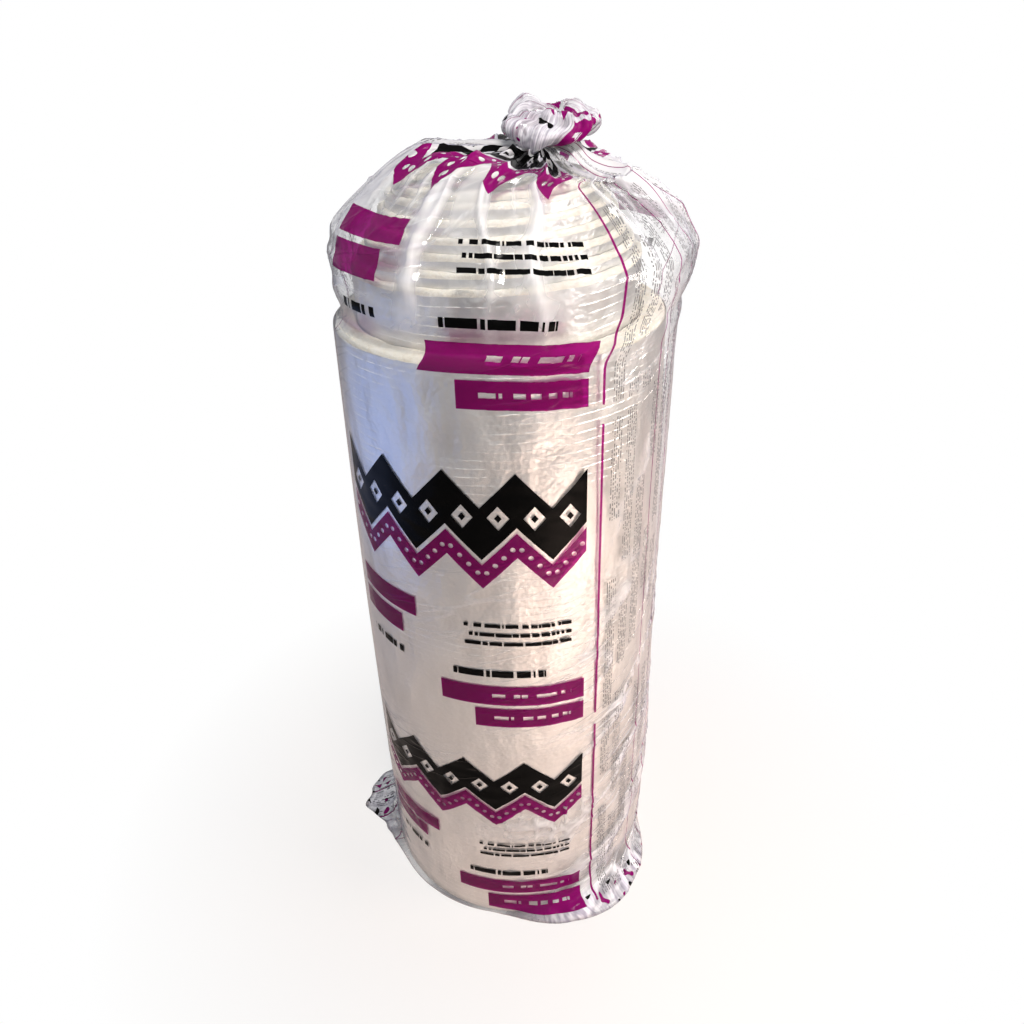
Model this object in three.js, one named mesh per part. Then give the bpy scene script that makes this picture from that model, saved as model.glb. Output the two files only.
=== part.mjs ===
// A roll of foil-faced glass wool duct wrap, standing on end in a knotted clear bag.
// Millimetres, +Z up. The origin is on the roll's axis, on the floor that the bag stands on.
import * as THREE from 'three';

// The blanket, as it is wound.
const BLANKET_WIDTH = 1219.2;
const ROLL_RADIUS = 278;
const TOP_TAPER = 10;
const BELLY = 6;
const BORE_RADIUS = 35;
const OUTER_TURN_THICKNESS = 45;
const INNER_TURNS = 16;
const FIRST_RISE = 76;
const TURN_RISE = 20;
const RISING_TURNS = 7;
const TURN_CROWN = 5;
const OUTER_EDGE_ROUND = 12;

// The foil, scrim and kraft laminate on the outer turn, and the film of the bag.
const FACING_THICKNESS = 0.8;
const FILM_THICKNESS = 1.2;
const SEAT_GAP = 0.3;
const BAG_EASE = 1.0;

// The tent of film over the roll's end, from the rim up to the knot.
const PINCH_BELOW_RIM = 25;
const SLACK_SHIFT = 9;
const BULGE_ABOVE_RIM = 97;
const BULGE_SWELL = 15;
const BULGE_SHIFT = 22;
const SHOULDER_ABOVE_RIM = 132;
const SHOULDER_DRAW = 5;
const SHOULDER_SHIFT = 20;
const CROWN_ABOVE_RIM = 202;
const CROWN_DRAW = 86;
const TENT_OVER_WOOL = 22;
const TENT_TOP_RADIUS = 155;
const TENT_TOP_SHIFT = 43;
const TENT_TILT = 20;
const TENT_FLATNESS = 0.9;
const FOLD_DEPTH = 6;
const FOLD_COUNT = 14;

// The tent's rings on the way up to the bulge, as shares of its height, swell and shift.
const BULGE_RINGS = [
  { height: 0.2, swell: 0.6, shift: 0.45, fold: 0, tilt: 0, flat: 0.1 },
  { height: 0.6, swell: 0.9, shift: 0.9, fold: 0, tilt: 0, flat: 0.4 },
  { height: 1, swell: 1, shift: 1, fold: 0, tilt: 0, flat: 0.7 },
];

// How much of the folds, the tilt and the flatness each ring above the bulge has.
const BULGE_TOP = { fold: 0.2, tilt: 0, flat: 0.9 };
const SHOULDER = { fold: 0.4, tilt: 0.2, flat: 1 };
const CROWN = { fold: 0.7, tilt: 0.4, flat: 0.9 };
const TENT_TOP = { fold: 1, tilt: 1, flat: 0.5 };
const NECK_FOOT = { fold: 1, tilt: 0.7, flat: 0 };
const NECK = { fold: 0.7, tilt: 0.1, flat: 0 };

// The knot, and the tuft of film above it.
const KNOT_SHIFT = 61;
const KNOT_RADIUS = 13;
const KNOT_HEIGHT = 18;
const KNOT_WALL = 8;
const KNOT_FOLD = 2;
const KNOT_HALF_LENGTH = 2.7;
const NECK_FOOT_RISE = 3.6;
const NECK_FOOT_RADIUS = 85;
const NECK_RISE = 8;
const NECK_RADIUS = 36;
const TUFT_SHIFT = 93;
const TUFT_HEIGHT = 50;
const TUFT_HALF_WIDTH = 64;
const TUFT_FLATNESS = 0.6;
const TUFT_RUFFLE = 8;
const TUFT_DROOP = 10;

// The tuft's rings, as shares of its height and of its half width at the mouth.
const TUFT_RINGS = [
  { along: 0.22, spread: 0.6 },
  { along: 0.45, spread: 0.9 },
  { along: 0.72, spread: 1 },
  { along: 1, spread: 0.95 },
];
const TUFT_LEAN_END = 0.7;
const TUFT_FLAT_END = 0.5;

// Slack film at the floor: the flat bag's two corners stand out as ears, with a skirt between.
const EARS = [
  { azimuth: 168, halfAngle: 36, reach: 74, height: 80 },
  { azimuth: -54, halfAngle: 50, reach: 56, height: 66 },
];
const SKIRT = { azimuth: 190, halfAngle: 95, reach: 11, height: 30 };
const FLARE_FULLNESS = 0.8;
const FLARE_STEPS = [0, 0.06, 0.16, 0.34, 0.62];

const TURN_SEGMENTS = 40;
const BAG_SEGMENTS = 4 * FOLD_COUNT;
const WALL_STEPS = 4;

const rollBase = FILM_THICKNESS + SEAT_GAP;
const rimHeight = rollBase + BLANKET_WIDTH;
const woolTop = rimHeight + riseOfTurn(RISING_TURNS);
const bagEase = SEAT_GAP + FACING_THICKNESS + BAG_EASE + FILM_THICKNESS;

// How far a turn has slid up, counted from the outermost turn, which is 0.
function riseOfTurn(turn) {
  if (turn === 0) return 0;
  return FIRST_RISE + TURN_RISE * (Math.min(turn, RISING_TURNS) - 1);
}

// The outer radius of a turn. The outermost one has sprung back to nearly its full loft.
function radiusOfTurn(turn) {
  if (turn === 0) return ROLL_RADIUS;
  const inner = ROLL_RADIUS - OUTER_TURN_THICKNESS;
  return inner - ((inner - BORE_RADIUS) * (turn - 1)) / INNER_TURNS;
}

function partOfWidth(height) {
  return THREE.MathUtils.clamp((height - rollBase) / BLANKET_WIDTH, 0, 1);
}

// The side of the roll: slightly fuller half way up, and drawn in a little at the top.
function sideRadius(height) {
  const along = partOfWidth(height);
  return ROLL_RADIUS - TOP_TAPER * along + BELLY * Math.sin(Math.PI * along);
}

function sideStations(low, high) {
  const stations = [];
  for (let step = 0; step <= WALL_STEPS; step += 1) {
    stations.push(low + ((high - low) * step) / WALL_STEPS);
  }
  return stations;
}

// A closed profile of [radius, height] pairs, turned about Z.
function turned(profile) {
  const points = profile.map(([radius, height]) => new THREE.Vector2(radius, height));
  points.push(points[0].clone());
  return new THREE.LatheGeometry(points, TURN_SEGMENTS).rotateX(Math.PI / 2);
}

// The turns stand as steps on the upper end, each with a crowned edge, and since the blanket
// has one width, the lower end is dished by the same steps.
function rollGeometry() {
  const lower = [];
  const upper = [];
  for (let turn = INNER_TURNS; turn >= 0; turn -= 1) {
    const outer = radiusOfTurn(turn);
    const inner = turn === INNER_TURNS ? BORE_RADIUS : radiusOfTurn(turn + 1);
    const base = rollBase + riseOfTurn(turn);
    const top = base + BLANKET_WIDTH;
    const steps = turn > 0 && riseOfTurn(turn) > riseOfTurn(turn - 1);
    const edge = turn === 0 ? OUTER_EDGE_ROUND : TURN_CROWN;
    if (turn === 0) {
      const lip = sideRadius(top - edge);
      lower.push([inner, base], [outer, base]);
      upper.push([inner, top - TURN_CROWN], [inner + edge, top], [lip - edge, top], [lip, top - edge]);
    } else {
      lower.push([(inner + outer) / 2, base]);
      lower.push([outer, base + (steps ? 0 : TURN_CROWN)]);
      upper.push([(inner + outer) / 2, top], [outer, top - TURN_CROWN]);
    }
  }
  lower.unshift([BORE_RADIUS, rollBase + riseOfTurn(INNER_TURNS) + TURN_CROWN]);
  upper.unshift([BORE_RADIUS, woolTop - TURN_CROWN]);
  const side = sideStations(rollBase, rimHeight).slice(1, -1).map((height) => [sideRadius(height), height]);
  return turned([...lower, ...side, ...upper.reverse()]);
}

// A thin sleeve on the side of the outermost turn, flush with its two edges.
function facingGeometry() {
  const inside = (height) => [sideRadius(height) + SEAT_GAP, height];
  const outside = (height) => [sideRadius(height) + SEAT_GAP + FACING_THICKNESS, height];
  const stations = sideStations(rollBase, rimHeight);
  stations[WALL_STEPS] -= TURN_CROWN;
  return turned([...stations.map(outside), ...stations.map(inside).reverse()]);
}

// How far the film flares out at the floor: each flare is a smooth bump round its azimuth, and
// falls off with the square of the height that is left.
function flareReach(angle, height) {
  return [...EARS, SKIRT].reduce((sum, flare) => {
    const away = Math.abs(THREE.MathUtils.euclideanModulo(angle - flare.azimuth + 180, 360) - 180);
    if (away >= flare.halfAngle) return sum;
    const bump = (0.5 + 0.5 * Math.cos((Math.PI * away) / flare.halfAngle)) ** FLARE_FULLNESS;
    return sum + flare.reach * bump * Math.max(0, 1 - height / flare.height) ** 2;
  }, 0);
}

// The bag's outside on the roll, from the floor to the pinch below the rim.
function bodyRings() {
  const tallestEar = Math.max(...EARS.map((ear) => ear.height));
  const heights = FLARE_STEPS.map((part) => part * tallestEar);
  heights.push(...sideStations(tallestEar, rimHeight - PINCH_BELOW_RIM));
  return heights.map((height) => {
    const shift = SLACK_SHIFT * partOfWidth(height) ** 3;
    const radius = sideRadius(height) + bagEase + shift;
    return { height, radius, shift, fold: 0, tilt: 0, wall: FILM_THICKNESS, oval: 1 };
  });
}

// The bag's outside over the turns, from the rim to the foot of the knot.
function tentRings() {
  const full = sideRadius(rimHeight) + bagEase;
  const top = woolTop + TENT_OVER_WOOL;
  const ring = (height, radius, shift, shape) => ({
    height,
    radius,
    shift,
    fold: shape.fold * FOLD_DEPTH,
    tilt: shape.tilt * TENT_TILT,
    wall: FILM_THICKNESS,
    oval: THREE.MathUtils.lerp(1, TENT_FLATNESS, shape.flat),
  });
  const rings = BULGE_RINGS.map((row) => {
    const height = rimHeight + row.height * BULGE_ABOVE_RIM;
    return ring(height, full + row.swell * BULGE_SWELL, row.shift * BULGE_SHIFT, row);
  });
  const bulgeTop = 0.5 * (BULGE_ABOVE_RIM + SHOULDER_ABOVE_RIM);
  const footShift = 0.5 * (TENT_TOP_SHIFT + KNOT_SHIFT);
  rings.push(ring(rimHeight + bulgeTop, full + 0.5 * (BULGE_SWELL - SHOULDER_DRAW), BULGE_SHIFT, BULGE_TOP));
  rings.push(ring(rimHeight + SHOULDER_ABOVE_RIM, full - SHOULDER_DRAW, SHOULDER_SHIFT, SHOULDER));
  rings.push(ring(rimHeight + CROWN_ABOVE_RIM, full - CROWN_DRAW, SHOULDER_SHIFT, CROWN));
  rings.push(ring(top, TENT_TOP_RADIUS, TENT_TOP_SHIFT, TENT_TOP));
  rings.push(ring(top + NECK_FOOT_RISE, NECK_FOOT_RADIUS, footShift, NECK_FOOT));
  rings.push(ring(top + NECK_RISE, NECK_RADIUS, KNOT_SHIFT, NECK));
  return rings;
}

// The knot, where the gathered film lies thick, and the tuft that opens above it.
function knotAndTuftRings() {
  const knot = woolTop + TENT_OVER_WOOL + KNOT_HEIGHT;
  const rings = [-KNOT_HALF_LENGTH, KNOT_HALF_LENGTH].map((from) => ({
    height: knot + from,
    radius: KNOT_RADIUS,
    shift: KNOT_SHIFT,
    fold: KNOT_FOLD,
    tilt: 0,
    wall: KNOT_WALL,
    oval: 1,
  }));
  for (const { along, spread } of TUFT_RINGS) {
    rings.push({
      height: knot + TUFT_HEIGHT * along,
      radius: TUFT_HALF_WIDTH * spread,
      shift: THREE.MathUtils.lerp(KNOT_SHIFT, TUFT_SHIFT, Math.min(1, along / TUFT_LEAN_END)),
      fold: TUFT_RUFFLE * spread,
      tilt: TUFT_DROOP * along,
      wall: FILM_THICKNESS,
      oval: THREE.MathUtils.lerp(1, TUFT_FLATNESS, Math.min(1, along / TUFT_FLAT_END)),
    });
  }
  return rings;
}

// Both walls of the film as rings of points. The inner wall is the outer one moved in along the
// normal of its profile, so the film keeps its thickness over the shoulder and the ears.
function bagWalls(stations) {
  const outer = stations.map(() => []);
  const inner = stations.map(() => []);
  for (let column = 0; column < BAG_SEGMENTS; column += 1) {
    const angle = (360 * column) / BAG_SEGMENTS;
    const turn = THREE.MathUtils.degToRad(angle);
    const wave = Math.cos(FOLD_COUNT * turn + Math.sin(2 * turn));
    const reach = stations.map((row) => row.radius + flareReach(angle, row.height));
    stations.forEach((row, index) => {
      const before = Math.max(index - 1, 0);
      const after = Math.min(index + 1, stations.length - 1);
      const along = reach[after] - reach[before];
      const up = stations[after].height - stations[before].height;
      const length = Math.hypot(along, up);
      const place = (lift) => {
        const radius = reach[index] + (lift * up) / length;
        return new THREE.Vector3(
          row.shift + radius * Math.cos(turn),
          radius * Math.sin(turn) * row.oval,
          row.height - (lift * along) / length - row.tilt * Math.cos(turn),
        );
      };
      outer[index].push(place(row.fold * wave));
      inner[index].push(place(row.fold * wave - row.wall));
    });
    const lean = (reach[0] - reach[1]) / stations[1].height;
    const heel = reach[0] - FILM_THICKNESS * (lean + Math.hypot(lean, 1));
    outer[0][column].set(reach[0] * Math.cos(turn), reach[0] * Math.sin(turn), 0);
    inner[0][column].set(heel * Math.cos(turn), heel * Math.sin(turn), FILM_THICKNESS);
  }
  return { outer, inner };
}

// The bag is one closed skin: up the outside, over the mouth of the tuft, down through the
// knot's gathered channel and round the inside, with a disc of film under the roll.
function bagGeometry() {
  const { outer, inner } = bagWalls([...bodyRings(), ...tentRings(), ...knotAndTuftRings()]);
  const rings = [...outer, ...inner.reverse()];
  const positions = rings.flat().flatMap((point) => point.toArray());
  const faces = [];
  const corner = (ring, column) => ring * BAG_SEGMENTS + (column % BAG_SEGMENTS);
  for (let ring = 0; ring < rings.length - 1; ring += 1) {
    for (let column = 0; column < BAG_SEGMENTS; column += 1) {
      const near = corner(ring, column);
      const far = corner(ring + 1, column + 1);
      faces.push(near, corner(ring, column + 1), far);
      faces.push(near, far, corner(ring + 1, column));
    }
  }
  const underside = rings.length * BAG_SEGMENTS;
  const floor = underside + 1;
  positions.push(0, 0, 0, 0, 0, FILM_THICKNESS);
  for (let column = 0; column < BAG_SEGMENTS; column += 1) {
    const last = rings.length - 1;
    faces.push(underside, corner(0, column + 1), corner(0, column));
    faces.push(floor, corner(last, column), corner(last, column + 1));
  }
  const geometry = new THREE.BufferGeometry();
  geometry.setAttribute('position', new THREE.Float32BufferAttribute(positions, 3));
  geometry.setIndex(faces);
  geometry.computeVertexNormals();
  return geometry;
}

const glassWool = new THREE.MeshStandardMaterial({ color: 0xead6a8, roughness: 0.95, metalness: 0 });
const foil = new THREE.MeshStandardMaterial({ color: 0xc9ccd2, roughness: 0.35, metalness: 0.9 });
const film = new THREE.MeshStandardMaterial({
  color: 0xf2f0f6,
  roughness: 0.12,
  metalness: 0,
  transparent: true,
  opacity: 0.3,
});

function named(name, geometry, material) {
  const mesh = new THREE.Mesh(geometry, material);
  mesh.name = name;
  return mesh;
}

const insulationRoll = new THREE.Group();
insulationRoll.add(named('glass_wool_roll', rollGeometry(), glassWool));
insulationRoll.add(named('foil_facing', facingGeometry(), foil));
insulationRoll.add(named('film_bag', bagGeometry(), film));

export default insulationRoll;
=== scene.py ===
"""Duct wrap insulation: a roll of foil-faced glass wool that stands on end in a knotted clear bag.

Laid out as a Blender add-on. The frame gives the roll's height and width; the panel's settings give
the rest. Each operator makes one piece of the roll, as surfaces worked out on a grid, in metres.
"""

import math

import bpy
import numpy as np
from mathutils import Matrix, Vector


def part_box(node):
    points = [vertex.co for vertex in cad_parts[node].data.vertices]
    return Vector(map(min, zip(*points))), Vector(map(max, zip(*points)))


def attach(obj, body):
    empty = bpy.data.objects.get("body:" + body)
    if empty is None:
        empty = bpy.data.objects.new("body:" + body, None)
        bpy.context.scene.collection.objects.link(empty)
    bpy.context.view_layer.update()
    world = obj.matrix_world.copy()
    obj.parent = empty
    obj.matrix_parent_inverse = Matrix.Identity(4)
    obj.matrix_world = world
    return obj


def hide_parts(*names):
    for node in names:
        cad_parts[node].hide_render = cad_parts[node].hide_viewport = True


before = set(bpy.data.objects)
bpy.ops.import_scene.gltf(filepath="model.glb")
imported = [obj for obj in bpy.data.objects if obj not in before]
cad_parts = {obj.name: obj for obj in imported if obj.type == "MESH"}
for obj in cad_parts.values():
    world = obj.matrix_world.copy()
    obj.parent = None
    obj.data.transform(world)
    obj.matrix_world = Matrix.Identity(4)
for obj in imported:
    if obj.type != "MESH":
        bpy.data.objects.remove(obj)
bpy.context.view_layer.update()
ROLL_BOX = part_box("glass_wool_roll")

bl_info = {
    "name": "Bagged insulation roll",
    "version": (1, 0, 0),
    "blender": (4, 5, 0),
    "location": "3D View > Sidebar > Insulation Roll",
    "description": "Makes a roll of foil-faced glass wool in a knotted clear bag",
    "category": "Add Mesh",
}

FULL_TURN = 2 * math.pi
BACK = 0.5 * math.pi
BAG_START = math.radians(-170)
EAR_REACH = 0.03
NOISE_ROWS = 256


# -------- settings


def length(name, description, default):
    given = {"name": name, "description": description, "default": default}
    return bpy.props.FloatProperty(**given, unit="LENGTH", precision=4)


def colour(name, description, default):
    given = {"name": name, "description": description, "default": default}
    return bpy.props.FloatVectorProperty(**given, subtype="COLOR", size=3, min=0, max=1)


def plain(name, description, default):
    return bpy.props.FloatProperty(name=name, description=description, default=default)


def count(name, description, default):
    return bpy.props.IntProperty(name=name, description=description, default=default, min=1)


class RollSettings(bpy.types.PropertyGroup):
    """The wound blanket and its facing."""

    blanket_width: length("Blanket width", "Height of every turn of the standing roll", 1.2192)
    base: length("Base", "Height of the outermost turn's lower edge", ROLL_BOX[0][2])
    roll_radius: length("Roll radius", "Outside of the blanket at its lower edge", 0.278)
    top_taper: length("Top taper", "How far the roll is drawn in at the top", 0.010)
    belly: length("Belly", "How much fuller the roll is half way up", 0.006)
    bore_radius: length("Bore radius", "Radius of the hole in the middle", 0.035)
    outer_turn: length("Outer turn", "Loft of the outermost turn", 0.045)
    inner_turns: count("Inner turns", "Turns inside the outermost one", 16)
    first_rise: length("First rise", "Rise from the outermost turn to the next", 0.076)
    turn_rise: length("Turn rise", "Rise of each further turn", 0.020)
    rising_turns: count("Rising turns", "Turns that have slid up in steps", 7)
    tail_lap: plain("Tail lap", "Part of a turn that the tapered tail laps over the start", 0.09)
    facing_gap: length("Facing gap", "Room for the facing between two turns", 0.0007)
    quilting: length("Quilting", "Depth of the soft hollows in the facing", 0.0009)


class BagSettings(bpy.types.PropertyGroup):
    """The film bag: its ease on the roll, the tent, the knot and the tuft."""

    ease: length("Ease", "Film outside the blanket where it lies close", 0.0010)
    slack_shift: length("Slack shift", "Half of how far the film stands off at the rim", 0.009)
    waist_shift: length("Waist shift", "Sideways place of the film just above the rim", 0.017)
    bulge_height: length("Bulge height", "Widest ring of the tent above the rim", 0.097)
    bulge_swell: length("Bulge swell", "How much wider the bulge is than the rim", 0.015)
    bulge_shift: length("Bulge shift", "Sideways place of the bulge", 0.022)
    shoulder_height: length("Shoulder height", "Shoulder of the tent above the rim", 0.132)
    shoulder_draw: length("Shoulder draw", "How far the shoulder is drawn in", 0.005)
    shoulder_shift: length("Shoulder shift", "Sideways place of the shoulder", 0.020)
    crown_height: length("Crown height", "Crown of the tent above the rim", 0.202)
    crown_draw: length("Crown draw", "How far the crown is drawn in", 0.086)
    tent_over_wool: length("Tent over wool", "Height of the tent's top over the turns", 0.022)
    tent_radius: length("Tent radius", "Radius of the tent's top ring", 0.155)
    tent_shift: length("Tent shift", "Sideways place of the top ring", 0.043)
    tent_tilt: length("Tent tilt", "How much higher the tent stands on one side", 0.020)
    tent_flatness: plain("Tent flatness", "Depth of the tent front to back over its width", 0.90)
    knot_shift: length("Knot shift", "Sideways place of the knot", 0.061)
    knot_radius: length("Knot radius", "Radius of the gathered film", 0.013)
    knot_height: length("Knot height", "Knot over the tent's top ring", 0.018)
    tuft_shift: length("Tuft shift", "Sideways place of the tuft's mouth", 0.096)
    tuft_height: length("Tuft height", "Height of the tuft over the knot", 0.045)
    tuft_radius: length("Tuft radius", "Half width of the tuft", 0.064)
    tuft_flatness: plain("Tuft flatness", "Depth of the tuft over its width", 0.6)
    tuft_droop: length("Tuft droop", "How far the tuft hangs to one side", 0.010)
    bunching: length("Bunching", "Length of film that is taken up by creases near the floor", 0.075)
    tied_film: length("Tied film", "Length of film that is wound up in the knot", 0.080)
    bunch_top: length("Bunch top", "Height up to which the film is bunched", 0.56)
    columns: count("Columns", "Points round the bag", 400)


class PrintSettings(bpy.types.PropertyGroup):
    """The generic pattern that is printed on the film."""

    repeat: length("Repeat", "Height of one repeat of the pattern", 0.605)
    start: length("Start", "Height of the first repeat on the film", 0.015)
    panel: length("Panel", "Where the printed panel starts round the bag", 0.064)
    panel_width: length("Panel width", "Width of the printed panel", 0.450)
    teeth: count("Teeth", "Points of the zigzag in one panel", 4)
    ink: colour("Ink", "Black ink", (0.002, 0.002, 0.002))
    accent: colour("Accent", "Magenta ink", (0.20, 0.003, 0.105))


# -------- grids and noise


def ramp(x, low, high):
    """0 below low, 1 above high, and the cubic 3t^2 - 2t^3 between them. With low over high it
    falls from 1 to 0."""
    t = np.clip((x - low) / (high - low), 0.0, 1.0)
    return t * t * (3 - 2 * t)


def running(steps):
    """The running total of the steps, from 0."""
    return np.concatenate([[0], np.cumsum(steps)])


def hump(x, middle, width):
    """A bell that is 1 at middle and falls as exp(-(distance / width)^2)."""
    return np.exp(-(((x - middle) / width) ** 2))


def through(knots, values, at):
    """Cubic Hermite curve through the values, with each slope the harmonic mean of its neighbours,
    or 0 where they differ in sign, so that it never overshoots."""
    steps = np.diff(knots)
    slopes = np.diff(values) / steps
    product = slopes[:-1] * slopes[1:]
    total = slopes[:-1] + slopes[1:]
    middle = np.where(product > 0, 2 * product / np.where(total == 0, 1, total), 0)
    tangents = np.concatenate([slopes[:1], middle, slopes[-1:]])
    i = np.clip(np.searchsorted(knots, at, "right") - 1, 0, len(steps) - 1)
    t = (at - knots[i]) / steps[i]
    return (
        (2 * t**3 - 3 * t**2 + 1) * values[i]
        + (t**3 - 2 * t**2 + t) * steps[i] * tangents[i]
        + (3 * t**2 - 2 * t**3) * values[i + 1]
        + (t**3 - t**2) * steps[i] * tangents[i + 1]
    )


def cell_blend(table, column, row, s, t):
    """The table's numbers at the four corners of a cell, blended by the shares s along its columns
    and t along its rows. Past its last row or column the table starts again."""
    rows, columns = table.shape
    corners = [table[(row + r) % rows, (column + c) % columns] for r in (0, 1) for c in (0, 1)]
    near = corners[0] * (1 - s) + corners[1] * s
    far = corners[2] * (1 - s) + corners[3] * s
    return near * (1 - t) + far * t


def noise_cells(u, v, cells, seed):
    """A table of random numbers from -1 to 1 with `cells` columns, the cell of each place in it,
    and how far across that cell the place lies."""
    table = np.random.default_rng(seed).uniform(-1, 1, (NOISE_ROWS, cells))
    column, row = np.floor(u).astype(int), np.floor(v).astype(int)
    return table, column, row, u - column, v - row


def crinkle(u, v, cells, seed):
    """Noise from -1 to 1 that repeats every `cells` units of u: random numbers on a grid, blended
    along both directions by the quintic 6t^5 - 15t^4 + 10t^3."""
    table, column, row, s, t = noise_cells(*np.broadcast_arrays(u, v), cells, seed)
    s, t = [x * x * x * (x * (6 * x - 15) + 10) for x in (s, t)]
    return cell_blend(table, column, row, s, t)


def crests(u, v, cells, seed, width):
    """Narrow crests from 0 to 1 on flat ground: a line along which the crinkle changes sign is 1,
    and the crest falls off to 0 where the crinkle reaches the width."""
    return np.clip(1 - np.abs(crinkle(u, v, cells, seed)) / width, 0, 1) ** 1.5


def facets(u, v, cells, seed, width):
    """A crumpled sheet that repeats every `cells` units of u: random heights from -1 to 1 on a
    warped grid, with straight slopes between them. Gives the height and how sharply it is bent: the
    change of slope at the nearest grid line, fading to 0 where the line is a width away."""
    warp = 0.45
    u = u + warp * crinkle(u, 0.7 * v, cells, seed + 1)
    v = v + warp * crinkle(u, v, cells, seed + 2)
    table, column, row, s, t = noise_cells(u, v, cells, seed)
    bends = [np.abs(np.roll(table, 1, k) - 2 * table + np.roll(table, -1, k)) / 2 for k in (0, 1)]
    beside, above = np.floor(u + 0.5).astype(int), np.floor(v + 0.5).astype(int)
    level = cell_blend(bends[0], column, above, s, 0)
    upright = cell_blend(bends[1], beside, row, 0, t)
    level = level * np.clip(1 - np.abs(v - above) / width, 0, 1)
    upright = upright * np.clip(1 - np.abs(u - beside) / width, 0, 1)
    return cell_blend(table, column, row, s, t), np.clip(np.maximum(level, upright), 0, 1)


def grid_faces(rows, columns, closed):
    """Quads of a grid of rows by columns of points, the columns joined end to end if closed."""
    across = columns if closed else columns - 1
    row, column = np.meshgrid(np.arange(rows - 1), np.arange(across), indexing="ij")
    here, beside = row * columns + column, row * columns + (column + 1) % columns
    faces = np.stack([here, beside, beside + columns, here + columns], axis=-1)
    return faces.reshape(-1, 4).tolist()


def make_mesh(name, points, faces, corner_uv=None):
    """An object with these points and faces, its UV map in metres if given, and smooth shading."""
    mesh = bpy.data.meshes.new(name)
    mesh.from_pydata(points.reshape(-1, 3).tolist(), [], faces)
    mesh.polygons.foreach_set("use_smooth", np.ones(len(mesh.polygons), bool))
    if corner_uv is not None:
        layer = mesh.uv_layers.new(name="lay")
        layer.data.foreach_set("uv", corner_uv.ravel())
    mesh.validate()
    mesh.update()
    piece = bpy.data.objects.new(name, mesh)
    bpy.context.scene.collection.objects.link(piece)
    return piece


def grid_uv(u, v, turn=None):
    """The UV corners of a grid's quads. If a turn is given, the grid is closed and its last
    column's far side is u + turn."""
    if turn is not None:
        u = np.concatenate([u, u[:, :1] + turn], axis=1)
        v = np.concatenate([v, v[:, :1]], axis=1)
    corners = [(slice(None, -1), slice(None, -1)), (slice(None, -1), slice(1, None))]
    corners += [(slice(1, None), slice(1, None)), (slice(1, None), slice(None, -1))]
    return np.stack([np.stack([u[c], v[c]], axis=-1) for c in corners], axis=2)


# -------- the wound blanket

# Heights of the facing's rows, as shares of the blanket's width.
OUTER_LEVELS = np.linspace(0.002, 0.9935, 130)
INNER_LEVELS = np.array([0.006, 0.05, 0.15, 0.85, 0.93, 0.96, 0.98, 0.993])


def rise_of(turn, roll):
    """How far the blanket has slid up: level on the outermost turn, a ramp at its end, and then an
    even climb of one step a turn, up to the last rising one."""
    first = roll.first_rise * ramp(turn, 0.88, 1.0)
    return first + roll.turn_rise * np.clip(turn - 1, 0, roll.rising_turns - 1)


def outside_of(turn, roll):
    """Outer radius of the blanket: the full roll, a dive under the tail, and an even spiral."""
    inner = roll.roll_radius - roll.outer_turn
    pitch = (inner - roll.bore_radius) / roll.inner_turns
    dive = roll.outer_turn * ramp(turn, 1 - roll.tail_lap, 1.0)
    return roll.roll_radius - dive - pitch * np.maximum(turn - 1, 0)


def side_bow(height, roll):
    """What the taper and the belly add to the outermost turn's radius at a height."""
    along = np.clip((height - roll.base) / roll.blanket_width, 0, 1)
    return roll.belly * np.sin(math.pi * along) - roll.top_taper * along


def outermost(turn, roll):
    """1 on the outermost turn, 0 on those inside it."""
    return 1 - ramp(turn, 1 - roll.tail_lap, 1.0)


def spiral_places(turn, radius, height):
    """Points at a radius and height, turned about Z by whole turns that start at the back."""
    angle = BACK + FULL_TURN * turn
    return np.stack([radius * np.cos(angle), radius * np.sin(angle), height], axis=-1)


def even_turns(roll, spacing):
    """Turn numbers from the tail's tip to the bore, about one spacing apart along the blanket."""
    fine = np.linspace(-0.94 * roll.tail_lap, roll.inner_turns + 1, 6000)
    run = running(FULL_TURN * outside_of(fine, roll)[1:] * np.diff(fine))
    return np.interp(np.linspace(0, run[-1], int(run[-1] / spacing)), run, fine), run[-1]


def blanket_section(turn, roll):
    """The blanket's section at each turn number, as radius and height round a closed outline: both
    ends are arcs at the corners, with a soft loft at the top, and the outer side follows the
    roll's bow."""
    outer = outside_of(turn, roll)[:, None]
    next_inside = outside_of(turn + 1, roll)[:, None] + roll.facing_gap
    inner = np.maximum(next_inside, 0.9 * roll.bore_radius)
    base = roll.base + rise_of(turn, roll)[:, None]
    top = base + roll.blanket_width
    thick = outer - inner
    corner = np.minimum(0.42 * thick, 0.013)
    loft = 0.0035 * ramp(thick, 0.01, 0.04)
    quarter = np.radians([0, 30, 60, 90])
    inward, onward = corner * (1 - np.cos(quarter)), corner * (1 - np.sin(quarter))
    side = np.linspace(0, 1, 9)[1:-1]
    side_level = base + corner + (roll.blanket_width - 2 * corner) * side
    radii = [inner + inward, outer - onward, outer + 0 * side]
    radii += [outer - inward, (outer + inner) / 2, inner + onward]
    levels = [base + onward, base + inward, side_level]
    levels += [top - onward, top + loft, top - inward]
    radius = np.concatenate(radii, axis=1)
    level = np.concatenate(levels, axis=1)
    bowed = ramp(radius, inner, outer) * outermost(turn, roll)[:, None]
    under_facing = 2 * roll.quilting * bowed * (radius > outer - 0.5 * corner)
    return radius + bowed * side_bow(level, roll) - under_facing, level


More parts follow.
